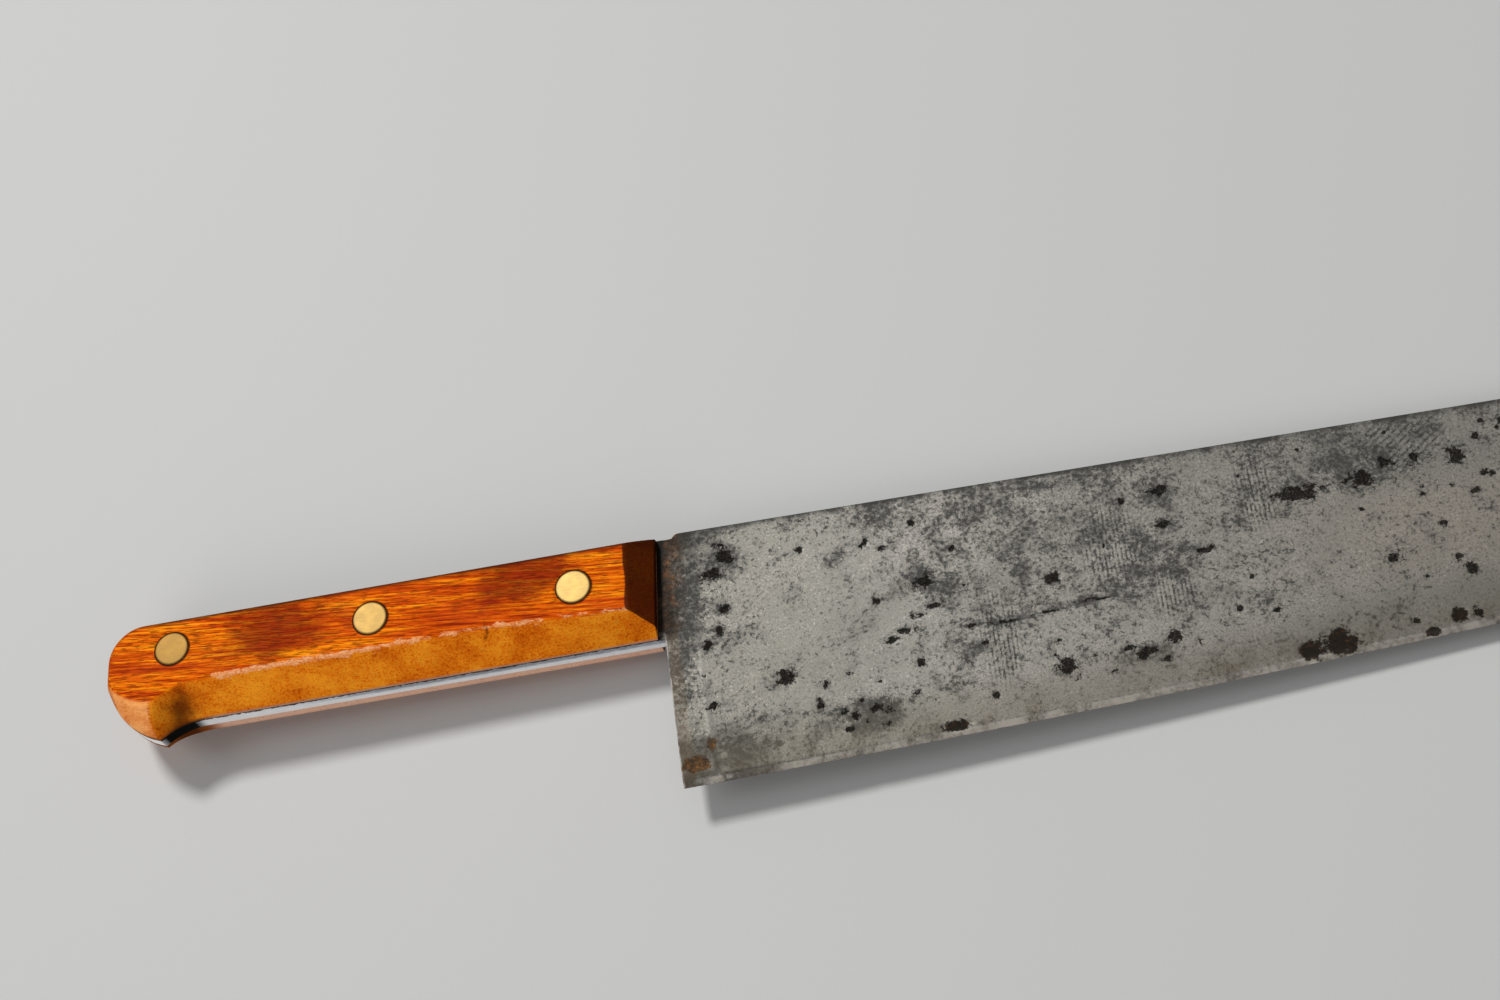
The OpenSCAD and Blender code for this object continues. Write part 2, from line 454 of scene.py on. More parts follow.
def floor_material():
    paint = Paint("floor_paint", Roughness=0.6, Specular_IOR_Level=0.3)
    paint.set("Base Color", srgb(188, 188, 187))
    paint.set("Normal", paint.bump(paint.noise(0.5, detail=2), 0.02))
    return paint.material


def add_floor():
    """The knife rests on the front edge of its left scale's flat face and on its nose."""
    face_end, nose_half = FRONT_LOW[0] - CHAMFER_LEN, SPINE_HALF - 0.5
    lift = (HALF_T - nose_half) / (NOSE_X - face_end)
    half, clearance = 4000, 0.7
    corners = [
        (face_end + clearance + x, y, x * lift - HALF_T)
        for x, y in ((-half, -half), (half, -half), (half, half), (-half, half))
    ]
    floor = add_object("floor", corners, [(0, 1, 2, 3)])
    floor.data.materials.append(floor_material())


# ---- handle outline
def handle_top(x):
    slope = (FRONT_TOP[1] - BUTT_TOP_Y) / (FRONT_TOP[0] - CORNER[0])
    return BUTT_TOP_Y + (x - CORNER[0]) * slope


def handle_bottom(x):
    belly = BELLY_Y + (np.minimum(x, FRONT_LOW[0]) - HOLLOW_X) * BELLY_SLOPE
    hollow = HOLLOW[1] + half_chord(HOLLOW_R, x - HOLLOW[0])
    butt = BUTT[1] - half_chord(BUTT_R, x - BUTT[0])
    return np.where(x >= HOLLOW_X, belly, np.where(x >= BEAK[0], hollow, butt))


def butt_reach(angle):
    """Distance from the corner's centre to the outline round the butt."""
    apart = BUTT[0] - CORNER[0]
    lower = apart * np.cos(angle) + half_chord(BUTT_R, apart * np.sin(angle))
    return np.where(angle <= math.pi, CORNER_R, lower)


def spaced_line(start, end, step):
    count = max(2, int(math.ceil(np.hypot(*(np.array(end) - start)) / step)) + 1)
    return np.linspace(start, end, count)


def scale_links(step=0.45):
    """Outline points of a scale, each with the point of its mid-line that it is joined to."""
    front_x = FRONT_LOW[0] - CHAMFER_LEN
    count = int((front_x - CORNER[0]) / step)
    xs = np.sort(np.append(np.linspace(CORNER[0], front_x, count), [BEAK[0], HOLLOW_X]))
    middle_y = np.interp(xs, [CORNER[0], front_x], [CORNER[1], (FRONT_TOP[1] + FRONT_LOW[1]) / 2])
    spine = np.stack([xs, middle_y], axis=1)
    low = np.stack([xs, handle_bottom(xs)], axis=1)
    top = np.stack([xs, handle_top(xs)], axis=1)
    front = np.concatenate([
        spaced_line(low[-1], FRONT_LOW, step)[1:-1],
        spaced_line(FRONT_LOW, FRONT_TOP, step)[:-1],
        spaced_line(FRONT_TOP, top[-1], step)[:-1],
    ])
    turn = np.radians(np.linspace(90, 270, int(45 / step)))[1:-1]
    butt = on_circle(CORNER, butt_reach(turn), turn)
    outline = np.concatenate([low, front, top[::-1], butt])
    inner = np.concatenate([
        spine,
        np.repeat(spine[-1:], len(front), axis=0),
        spine[::-1],
        np.repeat(spine[:1], len(butt), axis=0),
    ])
    return outline, inner


# ---- scales
# Reddish stains on a scale's flat face: place along the handle and across it, half length, half height
RED_STAINS = [(25.5, 1.5, 11.5, 8.5), (83, 3.5, 11, 6)]
CRACK = np.array([74.0, -8.2])


def rivet_centre(index):
    return PITCH * index


def bevel(inset, width, land, convexity):
    """Bevel that rises from the land to the flat face over its width; 1 is straight and 2 a quarter round."""
    lack = 1 - np.clip(inset / width, 0, 1)
    rise = np.maximum(1 - lack ** convexity, 0) ** (1 / convexity)
    return land + (HALF_T - land) * rise + np.maximum(inset - width, 0) * 0.9


def land_of(x, side):
    """Height where the bevels start. The left scale is worn away below the beak."""
    worn = BEAK_WEAR * (1 - smoothstep(x, BEAK[0], 4))
    return LAND[side] - (worn if side < 0 else 0.0)


def scale_parts(x, y, side):
    """Heights of the surfaces that bound a scale's outer face, at plan points x, y."""
    land = land_of(x, side)
    from_belly = (y - BELLY_Y - (x - HOLLOW_X) * BELLY_SLOPE) / math.hypot(1, BELLY_SLOPE)
    from_hollow = reach(x, y, HOLLOW) - HOLLOW_R
    inset = np.where(x >= HOLLOW_X, from_belly, from_hollow) + 0.10 * ripples(x, y, 5 + side, 30)
    width = BELLY_BEVEL - 1.2 * smoothstep(x, 78, 106) - 1.2 * (1 - smoothstep(x, -5, 5))
    belly = bevel(inset, width, land, 1.04)

    from_spine = np.where(x >= CORNER[0], handle_top(x) - y, CORNER_R - reach(x, y, CORNER))
    from_spine = np.where((x < CORNER[0]) & (y < CORNER[1]), x - scale_low[0], from_spine)
    spine = bevel(from_spine, SPINE_BEVEL, land, 1.12)

    turn = np.degrees(np.arctan2(y - BUTT[1], x - BUTT[0])) % 360
    growing = BUTT_BEVEL * np.clip((turn - 183) / 60, 0.06, 1)
    butt = bevel(BUTT_R - reach(x, y, BUTT), growing, land, 1.25)
    butt = np.where((turn > 170) & (turn < 300), butt, HALF_T + 5)

    front = HALF_T - (x - FRONT_TOP[0] + CHAMFER_LEN) * CHAMFER_DEPTH / CHAMFER_LEN
    return belly, spine, butt, front


def scale_face(x, y, side):
    """Height of a scale's outer face above the middle plane."""
    belly, spine, butt, front = scale_parts(x, y, side)
    crown = 0.08 * ((y + 1.5) / 9) ** 2 + 0.03 * np.maximum(1 + ripples(x, y, 9 + side, 22), 0)
    face = HALF_T - crown
    for surface, arris in ((belly, 0.45), (butt, 0.9), (spine, 0.9), (front, 0.3)):
        face = soft_min(face, surface, arris)
    for index in range(3):
        rim = reach(x, y, rivet_centre(index)) - BORE_R
        face = face - 0.09 * np.exp(-((rim / 0.45) ** 2))
    roll_w = 3.0
    outline_inset = BUTT_R - reach(x, y, BUTT)
    near_butt = (x < BEAK[0] + 0.5) & (y < CORNER[1])
    land = land_of(x, side)
    rolled = land + (HALF_T - land) * np.sqrt(np.clip(outline_inset / roll_w, 0, 1))
    face = np.where(near_butt, soft_min(face, rolled + 0.4, 0.5), face)
    return np.maximum(face, land)


def tang_half(x):
    taper = (TANG_FRONT - TANG_BUTT) / (FRONT_TOP[0] - scale_low[0])
    return TANG_FRONT - (FRONT_TOP[0] - np.minimum(x, FRONT_TOP[0])) * taper


def scale_rings(side):
    """Closed rings from the scale's inner face, up its wall and over its outer face to its mid-line."""
    outline, inner = scale_links()
    span = inner - outline
    length = np.hypot(span[:, 0], span[:, 1])

    def ring(inset, height):
        share = np.clip(inset / length, 0, 1)[:, None]
        plan = outline + span * share
        level = height(plan[:, 0], plan[:, 1])
        return np.column_stack([plan, level])

    def face(x, y):
        return scale_face(x, y, side)

    def wall(share):
        def height(x, y):
            return tang_half(x) + 0.12 + (face(x, y) - tang_half(x) - 0.2) * share
        return height

    near, steps = [0.1, 0.22, 0.4, 0.65], 30
    far = [near[-1] + (length - near[-1]) * step / steps for step in range(1, steps + 1)]
    rings = [ring(inset, lambda x, y: tang_half(x)) for inset in (length, length / 2, 0.12)]
    rings += [ring(0.0, wall(share)) for share in (0, 0.33, 0.67, 1)]
    rings += [ring(inset, face) for inset in near + far]
    return np.array(rings)


def rivet_hole(index):
    """Cutter for one rivet's stepped hole, from below the tang's face to above the scale."""
    low, seat, high = 0.5, HALF_T - HEAD_T, HALF_T + 1
    profile = [(0, low), (HOLE_R, low), (HOLE_R, seat), (BORE_R, seat), (BORE_R, high), (0, high)]
    return lathe("cutter", profile, rivet_centre(index))


def scale_fields(x, y, z, side):
    """What the wood's paint needs to know: where a point is on the scale's worn shape."""
    belly, spine, butt, front = scale_parts(x, y, side)
    land = land_of(x, side)
    above_wall = smoothstep(z, land - 0.2, land + 0.3)
    lowest = np.minimum(np.minimum(spine, butt), front)
    ridge = np.exp(-((belly - HALF_T) / 0.62) ** 2) * smoothstep(lowest, HALF_T - 0.6, HALF_T)
    ridge = ridge * smoothstep(x, 8, 12) * (1 - 0.3 * smoothstep(x, 55, 75) - 0.25 * smoothstep(x, 80, 100))
    on_bevel = smoothstep(HALF_T - belly, 0.0, 0.4) * smoothstep(np.minimum(butt, front) - belly, -0.2, 0.2)
    smear = 0.5 * ripples(x, y, 12, 2.5)
    # Band across the hollow by the beak, darkened as dirt with painted shade in the recess
    hollow = np.exp(-((x - 1.8 + smear - 0.3 * (y + 12)) / 3.3) ** 2)
    # Distance from each bore, round a centre moved a little forward and down, so the ring of dirt and painted
    # shadow in the gap is wider on one side
    rim = np.full_like(x, 9.0)
    for index in range(3):
        rim = np.minimum(rim, np.abs(reach(x, y, rivet_centre(index) + [0.16, -0.1]) - BORE_R))
    red = np.full_like(x, -1.0)
    for along, up, half_length, half_height in RED_STAINS:
        red = np.maximum(red, 1 - np.hypot((x - along) / half_length, (y - up) / half_height))
    turn = np.arctan2(y - CRACK[1], x - CRACK[0])
    crack = np.exp(-((reach(x, y, CRACK) - 1.5) / 0.22) ** 2) * (np.abs(turn + 0.2) < 1.1) * (side > 0)
    return dict(
        ridge=ridge,
        bevel=on_bevel,
        # front: the front chamfer and a soft margin of the face, painted dark as end grain with painted shade
        front=smoothstep(np.minimum(HALF_T, belly) - front, -1.1, 0.4) * above_wall,
        # butt: the butt's rounded end, for its lighter end grain with a painted highlight
        butt=smoothstep(np.minimum(HALF_T, belly) - butt, -0.1, 0.5),
        hollow=hollow * smoothstep(-y + smear, 8.5, 13.5) * on_bevel,
        rim=rim,
        red=red,
        # spine: the face's margin along the top edge, for a painted shade line that stands in for the bevel
        # turning away
        spine=smoothstep(HALF_T - spine, -1.1, 0.2) * (0.3 + 0.7 * smoothstep(x, -15, 0)),
        wall=1 - above_wall,
        pale=smoothstep(x, HOLLOW_X - 2, HOLLOW_X + 4) * (0.55 if side > 0 else 1.0),
        crack=crack)


def add_scale(name, node, material, side):
    scale = loft(name, scale_rings(side))
    for index in range(3):
        cut(scale, rivet_hole(index))
    x, y, z = mesh_points(scale)
    store(scale, **scale_fields(x, y, z, side))
    if side < 0:
        mirror = Matrix.Translation((0, 0, 2 * ORIGIN[2])) @ Matrix.Scale(-1, 4, (0, 0, 1))
        scale.data.transform(mirror)
        scale.data.flip_normals()
    finish_piece(scale, material, [node])


def wood_material():
    paint = Paint("oiled_beech", Specular_IOR_Level=0.02)
    paint.coords = paint.turned(paint.coords, 5.5)
    names = ("ridge", "bevel", "front", "butt", "hollow", "rim", "red", "spine", "wall", "pale", "crack")
    ridge, on_bevel, front, butt, hollow, rim, red, spine, wall, pale, crack = map(paint.attribute, names)

    growth = paint.noise(7, (0.16, 1, 1), detail=6, rough=0.65, warp=0.15)
    streak = paint.noise(0.6, (0.035, 1, 1), detail=4, rough=0.65, shift=3)
    dashes = paint.noise(0.30, (0.09, 1, 1), detail=2, rough=0.5, shift=7)
    flecks = paint.noise(0.45, (0.8, 1, 1), detail=3, rough=0.75, shift=9)
    patch = paint.noise(7, (0.7, 1, 1), detail=7, rough=0.62, shift=11)
    chips = paint.noise(1.6, (0.5, 1, 1), detail=4, rough=0.7, shift=15)

    face = paint.ramp(
        paint.weighted((growth, 0.4), (streak, 0.6)),
        (0.37, (132, 32, 1)), (0.455, (196, 68, 1)), (0.53, (224, 102, 2)), (0.61, (250, 150, 14)))
    # Lighter, more golden tone of the belly bevel: painted light from the front side, over the wood's own
    # flecks
    golden = paint.ramp(
        paint.weighted((patch, 0.45), (flecks, 0.55)),
        (0.38, (176, 68, 2)), (0.48, (224, 112, 8)), (0.58, (253, 160, 34)))
    # Pale peach of the butt's rounded end: lighter end grain with a painted highlight from the light on the
    # left
    peach = paint.ramp(
        paint.weighted((patch, 0.6), (flecks, 0.4)), (0.38, (206, 102, 32)), (0.58, (255, 180, 108)))
    bare = paint.ramp(flecks, (0.42, (222, 136, 72)), (0.58, (246, 184, 134)))
    # Dark brown for the front chamfer: the end grain's darker tone with painted shade, as the chamfer faces
    # away from the lamps
    end_grain_and_shade = paint.blend(patch, (52, 18, 3), (84, 32, 5))
    wall_tone = paint.blend(pale, (132, 72, 26), (242, 198, 172))
    dash = paint.product(
        paint.fit(dashes, 0.52, 0.60), paint.fit(growth, 0.36, 0.56, 0.5, 1.0),
        paint.lerp(paint.math("MAXIMUM", on_bevel, butt), 0.9, 0.10))
    worn = paint.fit(paint.weighted((ridge, 1.0), (chips, 3.2)), 2.02, 2.5)
    colour = paint.coats(
        face,
        ((122, 13, 1), paint.ragged(red, patch, 2.6, 0.5), 0.78),
        # Belly bevel painted lighter: painted light
        (golden, on_bevel, 0.94),
        # Butt's rounded end: end grain with a painted highlight
        (peach, butt, 0.85),
        (wall_tone, wall, 0.9),
        ((92, 24, 2), dash, 0.72),
        ((132, 66, 16), paint.fit(flecks, 0.55, 0.68), on_bevel, 0.6),
        (bare, worn, paint.fit(ridge, 0.02, 0.2), 0.85),
        ((62, 18, 4), crack, 0.85),
        # Hollow by the beak: dirt with painted shade
        ((66, 24, 3), hollow, 0.82),
        # Painted shade along the top edge of the handle
        ((54, 18, 4), spine, 0.92),
        # Front chamfer: dark end grain with painted shade, feathered onto the face
        (end_grain_and_shade, paint.fit(paint.weighted((front, 1.0), (patch, 1.2)), 0.92, 1.2), 0.96),
        # Dark ring round each rivet head: dirt with painted shadow in the gap
        ((34, 14, 5), paint.fit(rim, 0.12, 0.42, 0.9, 0.0)))
    paint.set("Base Color", colour)

    paint.set("Roughness", paint.fit(patch, 0.3, 0.7, 0.62, 0.5))
    height = paint.weighted((streak, 0.4), (dash, -1.0), (paint.product(chips, ridge), 1.5))
    paint.set("Normal", paint.bump(height, 0.06))
    return paint.material


# ---- rivets
def rivet_head(top):
    """Profile points of a flush, slightly worn rivet head, from its axis to below its rim."""
    return [
        (0, top), (HEAD_R * 0.5, top - 0.005), (HEAD_R - 0.5, top - 0.02), (HEAD_R - 0.2, top - 0.05),
        (HEAD_R - 0.06, top - 0.12), (HEAD_R, top - 0.24), (HEAD_R, top - HEAD_T + 0.1),
        (HEAD_R - 0.1, top - HEAD_T)]


def add_socket(name, node, material, index):
    """Head on the right side, and a tube that is open at its left end."""
    end, chamfer = head_low[2], 0.15
    seat = HALF_T - HEAD_T
    blind_end = seat - 3.0
    profile = rivet_head(HALF_T) + [
        (TUBE_R, seat), (TUBE_R, end + chamfer), (TUBE_R - chamfer, end), (SHANK_R + chamfer, end),
        (SHANK_R, end + chamfer), (SHANK_R, blind_end), (0, blind_end)]
    add_rivet(name, node, material, profile, index)


def add_stud(name, node, material, index):
    """Head on the left side, and a shank with a chamfered tip."""
    shank, chamfer = SHANK_R - 0.02, 0.5
    profile = [(radius, -height) for radius, height in rivet_head(HALF_T)]
    profile += [(shank, HEAD_T - HALF_T), (shank, stud_tip - chamfer), (SHANK_R - chamfer, stud_tip),
                (0, stud_tip)]
    add_rivet(name, node, material, profile, index)


def add_rivet(name, node, material, profile, index):
    rivet = lathe(name, profile, rivet_centre(index))
    x, y, _ = mesh_points(rivet)
    # shade: 0 on the rear rivet, 0.5 on the middle one and 1 on the front one
    store(rivet, edge=reach(x, y, rivet_centre(index)) / HEAD_R, shade=np.full(len(x), index / 2))
    finish_piece(rivet, material, [node], sharp=40)


def brass_material():
    paint = Paint("worn_brass", Metallic=0.55, Specular_IOR_Level=0.2)
    cloud = paint.noise(2.2, detail=5)
    brushed = paint.noise(0.3, (0.12, 1, 1), detail=3, shift=4)
    dull = paint.ramp(cloud, (0.35, (148, 112, 52)), (0.65, (168, 130, 68)))
    bright = paint.ramp(cloud, (0.35, (200, 166, 96)), (0.65, (216, 184, 116)))
    colour = paint.coats(
        # Heads go from dull on the rear rivet to bright on the front one
        paint.blend(paint.attribute("shade"), dull, bright),
        ((150, 116, 58), paint.fit(brushed, 0.5, 0.7, 0.0, 0.3)),
        # Darker outer rim of each head: dirt with painted shadow at the joint
        ((84, 56, 22), paint.fit(paint.attribute("edge"), 0.86, 1.0), 0.8))
    paint.set("Base Color", colour)
    paint.set("Roughness", paint.fit(cloud, 0.3, 0.7, 0.52, 0.64))
    paint.set("Normal", paint.bump(brushed, 0.01))
    return paint.material


# ---- blade outline and thickness
def edge_line(x):
    """Height of the cutting edge, from the heel round the nose's lower corner."""
    long_arc = EDGE[1] - half_chord(EDGE_R, x - EDGE[0])
    corner = NOSE[1] - half_chord(NOSE_R, x - NOSE[0])
    return np.where(x > NOSE[0], corner, long_arc)


def spine_line(x):
    """Height of the upper side, from the step at the neck to the nose's upper corner."""
    bend_x = NECK_X + 2 * SHOULDER_R
    run_x = bend_x - SHOULDER_R * math.cos(math.radians(20))
    run_y = SPINE_Y - SHOULDER_R + SHOULDER_R * math.sin(math.radians(20))
    ramp = np.interp(x, [NECK_X, run_x], [FRONT_TOP[1], run_y])
    bend = SPINE_Y - SHOULDER_R + half_chord(SHOULDER_R, bend_x - x)
    corner_x = NOSE_X - NOSE_TOP_R
    corner = SPINE_Y - NOSE_TOP_R + half_chord(NOSE_TOP_R, x - corner_x)
    height = np.where(x < run_x, ramp, np.where(x < bend_x, bend, SPINE_Y))
    height = np.where(x < NECK_X, handle_top(x), height)
    return np.where(x > corner_x, corner, height)


def edge_inset(x, y):
    """Distance inwards from the cutting edge and the ground nose."""
    inset = np.minimum(EDGE_R - reach(x, y, EDGE), NOSE_X - x)
    corner = (x > NOSE[0]) & (y < NOSE[1])
    return np.where(corner, NOSE_R - reach(x, y, NOSE), inset)


def heel_inset(x, y):
    return x - HEEL[0] + (y - HEEL[1]) * HEEL_LEAN


def blade_half(x, y, side, marks):
    """Half thickness of the blade and tang at plan points x, y, on the side +1 or -1."""
    flank = SPINE_HALF - (SPINE_Y - y) * ACROSS - (x - HEEL[0]) * ALONG
    band = 1 - smoothstep(heel_inset(x, y), RICASSO_W - 0.9, RICASSO_W + 0.9)
    flank = flank + 0.3 * ACROSS * (SPINE_Y - y) * band
    flank = flank - 0.02 * (1 + ripples(x, y, 20 + side, 26)) - 0.008 * (1 + ripples(x, y, 30 + side, 6))
    half = soft_min(flank, KEEN + edge_inset(x, y) * GRIND, 0.08)
    blade_only = smoothstep(x, HEEL_TOP[0], NECK_X + 1)
    half = half - marks * blade_only
    half = half - round_over(spine_line(x) - y, SPINE_ROUND) * blade_only
    below_tang = smoothstep(HEEL_TOP[1] - y, 0.0, 1.5)
    half = half - round_over(np.maximum(heel_inset(x, y), 0), HEEL_ROUND) * below_tang
    on_tang = (1 - blade_only) * (1 - smoothstep(HEEL_TOP[1] - y, -0.5, 1.0))
    on_tang = np.where(x < HEEL_TOP[0] - 0.5, 1.0, on_tang)
    half = half + (tang_half(x) - half) * on_tang
    return np.maximum(half, 0.06)


# ---- stains and pits on the blade
# Each stain: distance from the heel, distance below the spine, half length, half height.
PITS = [
    (10, 12, 2.7, 1.8), (14, 8, 2.3, 2.2), (12.5, 21, 1.6, 1.5), (11, 26, 1.5, 1.4), (8, 29, 1.4, 1.3),
    (31, 9, 1.0, 0.9), (46, 10, 1.1, 1.1), (57, 7, 1.0, 1.0), (25, 40, 2.5, 2.2), (8, 44, 1.3, 1.2),
    (58, 22, 2.1, 1.9), (47, 25, 1.2, 1.2), (39, 51, 1.2, 1.2), (44, 50, 1.4, 1.1), (49, 35, 1.8, 1.0),
    (52, 33, 2.2, 0.8), (56, 30, 2.2, 0.9), (60, 28, 2.4, 0.8), (55, 41, 1.2, 1.2), (32, 47, 0.8, 1.8),
    (112, 9, 2.4, 1.4), (112, 17, 2.1, 1.4), (86, 26, 2.4, 1.7), (110, 44, 2.1, 2.0), (103, 47, 2.6, 1.6),
    (86, 47, 2.3, 2.2), (96, 50, 1.7, 0.7), (120, 25, 2.0, 1.0), (115, 46, 0.8, 0.8), (104, 10, 1.0, 1.0),
    (142, 15, 5.4, 2.2), (156, 14, 3.4, 2.3), (162, 11, 1.7, 1.6), (168, 11, 1.5, 2.0), (177, 12, 2.4, 2.3),
    (182, 8, 1.0, 1.0), (188, 5, 0.8, 1.5), (182, 17, 1.0, 1.0), (179, 21, 1.4, 0.9), (159, 34, 2.1, 1.5),
    (172, 36, 1.0, 1.0), (174, 39, 1.7, 1.6), (160, 49, 1.0, 1.0), (173, 49, 1.4, 1.4), (47, 51, 1.2, 1.3),
    (46, 54, 1.0, 0.7), (42, 53, 0.7, 0.8), (37, 50, 1.4, 0.9), (38, 54, 1.3, 0.8), (41, 48, 0.7, 0.7),
    (100, 45, 1.2, 0.9), (107, 49, 1.2, 0.8), (88, 50, 0.9, 0.8), (84, 44, 0.7, 0.9), (13, 5, 1.6, 1.0),
    (74, 34.6, 4.0, 0.4), (84, 33.8, 3.5, 0.4), (94, 32.6, 4.5, 0.42),
]
SMUDGES = [
    (38, 13, 3.4, 2.0), (50, 4, 5.0, 4.0), (28, 3, 2.0, 1.2), (18, 55, 4.0, 1.4), (12, 56, 4.5, 2.4),
    (94, 4, 9.0, 1.8), (78, 20, 3.2, 3.0), (63, 40, 5.0, 2.6), (110, 26, 7.0, 5.0), (90, 33, 10.0, 0.8),
    (76, 34, 9.0, 0.8), (5, 18, 3.0, 12.0), (60, 22, 5.0, 4.0), (104, 47, 5.0, 2.5), (160, 12, 14.0, 4.0),
    (43, 51, 7.0, 3.6), (12, 9, 5.0, 6.0), (8, 2, 9.0, 3.0),
]
RUST = [
    (7, 53, 1.1, 1.9), (3.4, 57, 3.4, 2.2), (61, 57, 3.6, 1.3), (163, 52, 2.2, 1.1), (169, 49, 1.8, 2.0),
    (137.5, 52, 3.2, 3.0), (144, 51, 4.0, 3.7),
]
CLOUD = [(88, 12, 32, 18), (70, 25, 16, 11), (150, 6, 22, 7), (16, 56, 20, 6), (45, 52, 12, 6)]
# Patches of grinding lines, upright and slanted, and ring-shaped stains
STRIAE = [(73, 38, 6, 15), (100, 20, 9, 13), (112, 34, 7, 8), (133, 13, 6, 12)]
SLANTED = [(166, 7, 12, 8)]
RINGS = [
    (149, 48, 3.0, 2.4), (157, 48.5, 2.2, 1.8), (127, 19, 2.2, 1.8), (133, 17, 1.6, 1.5), (134, 36, 1.5, 1.4),
    (111, 38, 1.6, 1.4), (34, 6, 1.5, 1.3), (120, 31, 1.8, 1.3),
]


def scattered(seed, count, start, end, largest):
    """Random stains where none are listed."""
    rng = np.random.default_rng(seed)
    stains = []
    for _ in range(count):
        along = rng.uniform(start, end)
        down = rng.uniform(2, 58 - 0.06 * along)
        size = 0.5 + largest * rng.random() ** 3
        stains.append((along, down, size * rng.uniform(1, 1.5), size))
    return stains


def stain_field(x, y, stains):
    """1 at the middle of the nearest stain, 0 on its outline and negative outside, down to -1."""
    field = np.full_like(x, -1.0)
    for along, down, half_length, half_height in stains:
        far = np.hypot((x - HEEL[0] - along) / half_length, (SPINE_Y - down - y) / half_height)
        field = np.maximum(field, 1 - far)
    return field


def stains_of(side):
    """Pits, smudges, rust and clouds of the right side (+1) or the left side (-1)."""
    if side > 0:
        pits = PITS + scattered(41, 45, 0, 198, 0.5) + scattered(42, 18, 198, 250, 2.4)
        smudges = SMUDGES + scattered(43, 10, 195, 250, 4)
        rust = RUST + scattered(44, 3, 205, 250, 2.0)
        return pits, smudges, rust, CLOUD + [(225, 20, 20, 12)]
    pits = scattered(51, 85, 3, 250, 2.8)
    smudges = scattered(52, 34, 3, 250, 6)
    rust = scattered(53, 9, 3, 250, 2.6)
    return pits, smudges, rust, [(60, 20, 34, 16), (150, 30, 26, 14), (215, 14, 24, 9)]


def pit_depth(x, y, side):
    """Depth of the corroded pits below the flank."""
    pits, _, rust, _ = stains_of(side)
    ragged = 0.25 * ripples(x, y, 60 + side, 1.9, 18)
    black = smoothstep(stain_field(x, y, pits) + ragged, -0.05, 0.6)
    brown = smoothstep(stain_field(x, y, rust) + ragged, -0.05, 0.5)
    return 0.09 * black + 0.13 * brown


# ---- blade mesh
def blade_columns():
    """Edge end and spine end of each column, from the heel to the nose."""
    near = np.arange(0, 8, 0.4)
    far = np.arange(8, NOSE[0] - HEEL[0], 0.66)
    nose = NOSE_R - NOSE_R * np.sin(np.radians(np.linspace(0, 62, 22)))
    tip = np.array([2.25, 2.0, 1.6, 1.1, 0.6, 0.25, 0.05, 0])
    low_x = np.concatenate([HEEL[0] + near, HEEL[0] + far, NOSE_X - nose[nose > 2.4], NOSE_X - tip])
    lean = (FRONT_TOP[1] - HEEL[1]) * HEEL_LEAN
    top_x = low_x - lean * (1 - smoothstep(low_x - HEEL[0], 0, 25))
    low_y = edge_line(low_x)
    rng = np.random.default_rng(7)
    nicks = 0.22 * np.clip(ripples(low_x, low_x * 0, 8, 5.0) - 0.9, 0, 1) + 0.02 * rng.random(len(low_x))
    low_y = low_y + nicks * (low_x < NOSE[0])
    return np.stack([low_x, low_y], axis=1), np.stack([top_x, spine_line(top_x)], axis=1)


def column_shares(low, top):
    """Positions up each column as shares of its height; one row meets the lower corner of the tang."""
    height = top[:, 1] - low[:, 1]
    start = np.array([0, 0.05, 0.2, 0.6, 1.1, 1.6, 2.0, 2.25, 2.6])
    end = np.array([0.9, 0.45, 0.25, 0.12, 0.03, 0])
    lower_rows, upper_rows = 52, 38
    corner = (HEEL_TOP[1] - HEEL[1]) / height[0]
    shares = []
    for tall in height:
        first, last = start[-1] / tall, 1 - end[0] / tall
        first_heel, last_heel = start[-1] / height[0], 1 - end[0] / height[0]
        middle = first + (last - first) * (corner - first_heel) / (last_heel - first_heel)
        shares.append(np.concatenate([
            start / tall,
            np.linspace(first, middle, lower_rows)[1:],
            np.linspace(middle, last, upper_rows)[1:],
            1 - end[1:] / tall,
        ]))
    return np.array(shares), len(start) + lower_rows - 2


def tang_columns(count):
    """Lower and upper ends of the tang's columns, from beside the heel to the butt's corners."""
    belly_x = np.linspace(HEEL_TOP[0], HOLLOW_X, count)[1:]
    hollow_x = np.linspace(HOLLOW_X, BEAK[0], 12)[1:]
    straight = np.concatenate([belly_x, hollow_x])
    start = math.atan2(BEAK[1] - BUTT[1], BEAK[0] - BUTT[0]) % (2 * math.pi)
    turn = np.linspace(start, math.radians(220), 12)[1:]
    round_low = on_circle(BUTT, BUTT_R, turn)
    low = np.concatenate([np.stack([straight, handle_bottom(straight)], axis=1), round_low])
    top_x = np.linspace(HEEL_TOP[0] - 1, CORNER[0], len(low) - 5)
    round_top = on_circle(CORNER, CORNER_R, np.radians(np.linspace(90, 140, 6)[1:]))
    return low, np.concatenate([np.stack([top_x, handle_top(top_x)], axis=1), round_top])


def butt_side(shares):
    """Points round the back of the butt, from its lower corner to its upper one."""
    low_turn, high_turn = math.radians(220), math.radians(140)
    low = on_circle(BUTT, BUTT_R, low_turn)
    angle_low = math.atan2(low[1] - CORNER[1], low[0] - CORNER[0]) % (2 * math.pi)
    angle = angle_low + (high_turn - angle_low) * shares
    return on_circle(CORNER, butt_reach(angle), angle)


